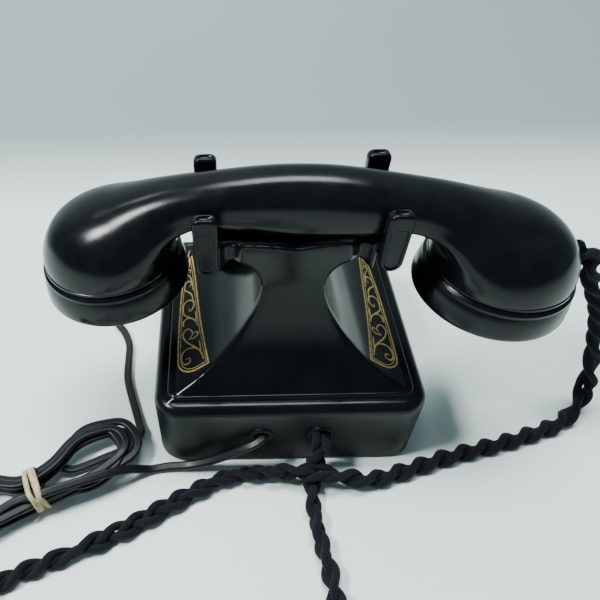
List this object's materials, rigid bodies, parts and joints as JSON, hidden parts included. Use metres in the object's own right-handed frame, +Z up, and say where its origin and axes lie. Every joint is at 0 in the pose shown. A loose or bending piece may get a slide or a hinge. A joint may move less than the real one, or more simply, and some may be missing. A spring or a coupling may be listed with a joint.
{
  "type": "cradle telephone",
  "caption": "Vintage cradle telephone with a pinched-neck square metal case, pronged cradle, rotary dial, bakelite handset with screw-on caps, plaited handset cord and line cord.",
  "frame": {"origin": "middle of the telephone without its cords, on the table", "axes": "+X from the transmitter towards the receiver end of the handset, +Y from the dial towards the rear, +Z up"},
  "size_m": [0.3472, 0.3393, 0.1474],
  "materials": {
    "enamel": "gloss black stoved enamel",
    "bakelite": "polished black moulding",
    "steel": "plain plated steel",
    "nickel": "nickel plate, lightly worn",
    "brass": "bright brass and gilt ornament",
    "rubber": "matt black",
    "plate_white": "cream vitreous dial plate",
    "coil": "varnished winding",
    "fibre": "brown insulating board",
    "cotton": "plaited blue-black cotton braid",
    "pvc": "semi-gloss black cord",
    "raffia": "beige paper twist"
  },
  "bodies": {
    "base": {"housing": "enamel", "base_plate": "steel", "cradle_fork_left": "enamel", "cradle_fork_right": "enamel", "lever_pin": "steel", "hook_bracket": "steel", "contact_pile": "fibre", "ringer_bracket": "steel", "ringer_coil_left": "coil", "ringer_coil_right": "coil", "ringer_yoke": "steel", "gong_left": "brass", "gong_right": "brass", "gong_post_left": "steel", "gong_post_right": "steel", "induction_coil": "coil", "capacitor": "steel", "terminal_block": "fibre", "line_cord_eyelet": "bakelite", "handset_cord_eyelet": "bakelite", "dial_case": "steel", "number_plate": "plate_white", "finger_stop": "nickel", "dial_contacts": "fibre", "handset_cord_from_case": "cotton", "handset_cord_to_handset": "cotton", "handset_cord_coil": "cotton", "line_cord_from_case": "pvc", "line_cord_tail": "pvc", "line_cord_hank": "pvc", "hank_tie": "raffia", "line_plug": "pvc", "foot_rear_left": "rubber", "base_screw_rear_left": "steel", "foot_rear_right": "rubber", "base_screw_rear_right": "steel", "foot_front_left": "rubber", "base_screw_front_left": "steel", "foot_front_right": "rubber", "base_screw_front_right": "steel"},
    "handset": {"handset_shell": "bakelite", "handset_cord_bush": "bakelite", "receiver_cap": "bakelite", "transmitter_cap": "bakelite", "receiver_capsule": "nickel", "transmitter_capsule": "nickel", "handset_cord_tail": "cotton"},
    "plunger": {"plunger": "steel"},
    "hook_lever": {"hook_lever": "steel"},
    "clapper": {"clapper": "brass"},
    "dial_wheel": {"finger_wheel": "nickel", "dial_shaft": "steel", "centre_card": "plate_white", "main_gear": "brass"},
    "governor": {"governor_pinion": "steel", "governor_drum": "brass"}
  },
  "joints": [
    {"name": "handset_lift", "type": "slide", "parent": "base", "child": "handset", "axis": [0, 0, 1], "range_m": [0, 0.1]},
    {"name": "plunger_travel", "type": "slide", "parent": "base", "child": "plunger", "axis": [0, 0, 1], "range_m": [0, 0.004]},
    {"name": "lever_turn", "type": "hinge", "parent": "base", "child": "hook_lever", "pos_m": [0.0045, 0.006, 0.084], "axis": [1, 0, 0], "range_deg": [0, 14]},
    {"name": "dial_turn", "type": "hinge", "parent": "base", "child": "dial_wheel", "pos_m": [0.0045, -0.0275, 0.075], "axis": [0, 0.7071, -0.7071], "range_deg": [0, 340], "stiffness_Nm_per_rad": 0.008},
    {"name": "governor_turn", "type": "hinge", "parent": "base", "child": "governor", "pos_m": [0.02745, -0.0275, 0.075], "axis": [0, 0.7071, -0.7071], "range_deg": [-1361, 0]},
    {"name": "clapper_swing", "type": "hinge", "parent": "base", "child": "clapper", "pos_m": [0.0045, -0.009, 0.021], "axis": [0, 0, 1], "range_deg": [-2, 2], "stiffness_Nm_per_rad": 0.01}
  ],
  "couplings": [
    {"joint": "plunger_travel", "follows": "handset_lift", "ratio": 0.04},
    {"joint": "lever_turn", "follows": "handset_lift", "rad_per_m": 2.27},
    {"joint": "governor_turn", "follows": "dial_turn", "ratio": -4}
  ]
}
